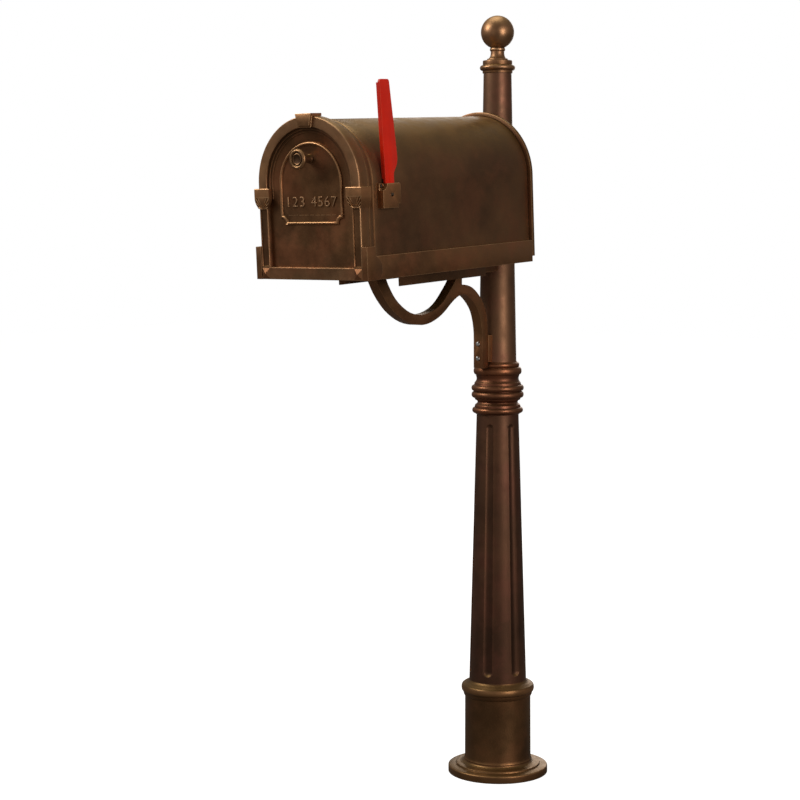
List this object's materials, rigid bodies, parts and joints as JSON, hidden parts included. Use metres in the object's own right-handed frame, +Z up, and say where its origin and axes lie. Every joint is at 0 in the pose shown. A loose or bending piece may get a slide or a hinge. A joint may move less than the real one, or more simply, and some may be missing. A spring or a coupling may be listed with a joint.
{
  "type": "kerbside mailbox on post",
  "caption": "Arched kerbside mailbox with a drop-down front door and a signal flag, carried on a turned and fluted post by a scroll bracket.",
  "frame": {"origin": "on the ground, on the post's axis, at the underside of the base plate", "axes": "+Z up the post, -Y towards the mailbox door, +X towards the flag's side"},
  "size_m": [0.2738, 0.7322, 1.5908],
  "materials": {
    "patina": "antique copper powder coat, dark brown, satin",
    "casting": "antique copper powder coat on castings, satin, lighter at the edges",
    "rubbed": "antique copper powder coat rubbed back on raised trim",
    "red_bronze": "antique copper powder coat, redder, satin",
    "flag_red": "gloss red enamel",
    "steel": "zinc-plated steel"
  },
  "bodies": {
    "post_and_box": {"base_plate": "steel", "base_flange": "patina", "base_collar": "patina", "fluted_shaft": "patina", "ring_collar": "red_bronze", "upper_shaft": "patina", "core_pipe": "steel", "pipe_plug": "steel", "top_cap": "casting", "ball_finial": "casting", "finial_stud": "steel", "scroll_bracket": "patina", "saddle_plate": "rubbed", "mount_arm": "patina", "leg_screw_lower": "steel", "leg_screw_upper": "steel", "mount_channel": "patina", "floor_panel": "patina", "box_shell": "patina", "front_hood": "casting", "rear_plate": "casting", "catch_clip": "steel", "flag_bracket": "rubbed", "flag_rivet": "steel", "flag_bracket_screw": "steel", "floor_screw_front_left": "steel", "floor_screw_front_right": "steel", "floor_screw_rear_left": "steel", "floor_screw_rear_right": "steel", "side_rail_left": "patina", "side_rail_right": "patina", "hinge_lug_left": "casting", "hinge_lug_right": "casting", "hinge_pin_left": "steel", "hinge_pin_right": "steel"},
    "door": {"door_panel": "casting", "keystone": "rubbed", "plaque_frame": "rubbed", "door_knob": "rubbed", "knob_screw": "steel", "door_catch": "steel", "capital_left": "rubbed", "capital_right": "rubbed"},
    "flag": {"flag_blade": "flag_red"}
  },
  "joints": [
    {"name": "door_hinge", "type": "hinge", "parent": "post_and_box", "child": "door", "pos_m": [0, -0.57167, 1.07034], "axis": [1, 0, 0], "range_deg": [0, 90]},
    {"name": "flag_pivot", "type": "hinge", "parent": "post_and_box", "child": "flag", "pos_m": [0.1285, -0.51437, 1.21701], "axis": [-1, 0, 0], "range_deg": [0, 90]}
  ]
}
